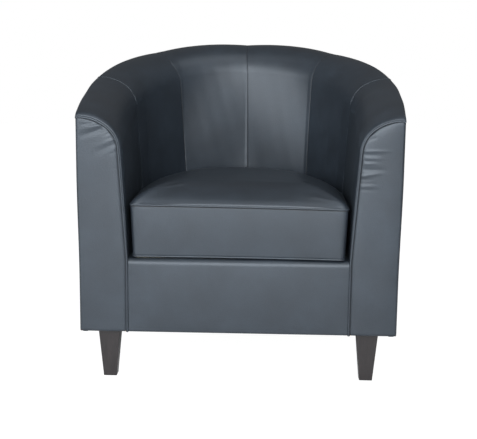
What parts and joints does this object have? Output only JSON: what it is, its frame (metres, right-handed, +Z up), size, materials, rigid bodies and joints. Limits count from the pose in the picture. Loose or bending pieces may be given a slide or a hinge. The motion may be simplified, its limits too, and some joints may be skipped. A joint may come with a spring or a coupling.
{
  "type": "tub chair",
  "caption": "Low upholstered tub chair with a rounded back running into the arms, a loose box seat cushion and tapered wooden legs.",
  "frame": {"origin": "on the floor, under the middle of the chair's outline", "axes": "+Z up, -Y towards the front of the seat, +X to the viewer's right from the front; the chair is symmetric about the YZ plane"},
  "size_m": [0.75, 0.645, 0.7844],
  "materials": {
    "arm_cover_left": "dark slate bonded leather, semi-gloss with fine grain",
    "arm_cover_right": "dark slate bonded leather, semi-gloss with fine grain",
    "arm_facing_left": "dark slate bonded leather, semi-gloss with fine grain",
    "arm_facing_right": "dark slate bonded leather, semi-gloss with fine grain",
    "arm_foam_left": "open cell polyurethane foam",
    "arm_foam_right": "open cell polyurethane foam",
    "arm_front_panel_left": "birch plywood, unfinished",
    "arm_front_panel_right": "birch plywood, unfinished",
    "back_cover_left": "dark slate bonded leather, semi-gloss with fine grain",
    "back_cover_right": "dark slate bonded leather, semi-gloss with fine grain",
    "back_foam": "open cell polyurethane foam",
    "back_rib_left": "birch plywood, unfinished",
    "back_rib_right": "birch plywood, unfinished",
    "back_seat_rail": "birch plywood, unfinished",
    "base_rail_back": "birch plywood, unfinished",
    "base_rail_left": "birch plywood, unfinished",
    "base_rail_right": "birch plywood, unfinished",
    "cushion_border": "dark slate bonded leather, semi-gloss with fine grain",
    "cushion_bottom_cover": "dark slate bonded leather, semi-gloss with fine grain",
    "cushion_core": "open cell polyurethane foam",
    "cushion_piping_bottom": "dark slate bonded leather, semi-gloss with fine grain",
    "cushion_piping_top": "dark slate bonded leather, semi-gloss with fine grain",
    "cushion_top_cover": "dark slate bonded leather, semi-gloss with fine grain",
    "cushion_zip": "nylon coil zip on woven tape",
    "deck_cloth": "spun-bonded black cloth",
    "deck_felt": "needled felt",
    "deck_foam": "open cell polyurethane foam",
    "dust_cover": "spun-bonded black cloth",
    "facing_piping_left": "dark slate bonded leather, semi-gloss with fine grain",
    "facing_piping_right": "dark slate bonded leather, semi-gloss with fine grain",
    "front_border_cover": "dark slate bonded leather, semi-gloss with fine grain",
    "front_leg_left": "espresso stained beech, satin lacquer",
    "front_leg_right": "espresso stained beech, satin lacquer",
    "front_rail": "birch plywood, unfinished",
    "inner_board_back": "plain hardboard",
    "inner_board_left": "plain hardboard",
    "inner_board_right": "plain hardboard",
    "leg_bolts": "zinc plated steel",
    "middle_rib": "birch plywood, unfinished",
    "outer_board_back": "plain hardboard",
    "outer_board_left": "plain hardboard",
    "outer_board_right": "plain hardboard",
    "outer_cover_back": "dark slate bonded leather, semi-gloss with fine grain",
    "outer_cover_left": "dark slate bonded leather, semi-gloss with fine grain",
    "outer_cover_right": "dark slate bonded leather, semi-gloss with fine grain",
    "rear_leg_left": "espresso stained beech, satin lacquer",
    "rear_leg_right": "espresso stained beech, satin lacquer",
    "seat_springs": "zinc plated steel",
    "side_cover_left": "dark slate bonded leather, semi-gloss with fine grain",
    "side_cover_right": "dark slate bonded leather, semi-gloss with fine grain",
    "side_foam_left": "open cell polyurethane foam",
    "side_foam_right": "open cell polyurethane foam",
    "side_rib_left": "birch plywood, unfinished",
    "side_rib_right": "birch plywood, unfinished",
    "spring_clips": "zinc plated steel",
    "tee_nuts": "zinc plated steel",
    "top_rail_back": "birch plywood, unfinished",
    "top_rail_left": "birch plywood, unfinished",
    "top_rail_right": "birch plywood, unfinished",
    "zip_slider": "black lacquered zinc"
  },
  "bodies": {
    "chair": {"arm_cover_left": "arm_cover_left", "arm_cover_right": "arm_cover_right", "arm_facing_left": "arm_facing_left", "arm_facing_right": "arm_facing_right", "arm_foam_left": "arm_foam_left", "arm_foam_right": "arm_foam_right", "arm_front_panel_left": "arm_front_panel_left", "arm_front_panel_right": "arm_front_panel_right", "back_cover_left": "back_cover_left", "back_cover_right": "back_cover_right", "back_foam": "back_foam", "back_rib_left": "back_rib_left", "back_rib_right": "back_rib_right", "back_seat_rail": "back_seat_rail", "base_rail_back": "base_rail_back", "base_rail_left": "base_rail_left", "base_rail_right": "base_rail_right", "deck_cloth": "deck_cloth", "deck_felt": "deck_felt", "deck_foam": "deck_foam", "dust_cover": "dust_cover", "facing_piping_left": "facing_piping_left", "facing_piping_right": "facing_piping_right", "front_border_cover": "front_border_cover", "front_leg_left": "front_leg_left", "front_leg_right": "front_leg_right", "front_rail": "front_rail", "inner_board_back": "inner_board_back", "inner_board_left": "inner_board_left", "inner_board_right": "inner_board_right", "leg_bolts": "leg_bolts", "middle_rib": "middle_rib", "outer_board_back": "outer_board_back", "outer_board_left": "outer_board_left", "outer_board_right": "outer_board_right", "outer_cover_back": "outer_cover_back", "outer_cover_left": "outer_cover_left", "outer_cover_right": "outer_cover_right", "rear_leg_left": "rear_leg_left", "rear_leg_right": "rear_leg_right", "seat_springs": "seat_springs", "side_cover_left": "side_cover_left", "side_cover_right": "side_cover_right", "side_foam_left": "side_foam_left", "side_foam_right": "side_foam_right", "side_rib_left": "side_rib_left", "side_rib_right": "side_rib_right", "spring_clips": "spring_clips", "tee_nuts": "tee_nuts", "top_rail_back": "top_rail_back", "top_rail_left": "top_rail_left", "top_rail_right": "top_rail_right"},
    "cushion": {"cushion_border": "cushion_border", "cushion_bottom_cover": "cushion_bottom_cover", "cushion_core": "cushion_core", "cushion_piping_bottom": "cushion_piping_bottom", "cushion_piping_top": "cushion_piping_top", "cushion_top_cover": "cushion_top_cover", "cushion_zip": "cushion_zip"},
    "zip_slider": {"zip_slider": "zip_slider"}
  },
  "joints": [
    {"name": "cushion_lift", "type": "slide", "parent": "chair", "child": "cushion", "axis": [0, 0, 1], "range_m": [0, 0.45]},
    {"name": "zip_travel", "type": "hinge", "parent": "cushion", "child": "zip_slider", "pos_m": [0, -0.07999, 0.3592], "axis": [0, 0, 1], "range_deg": [-42, 0]}
  ]
}
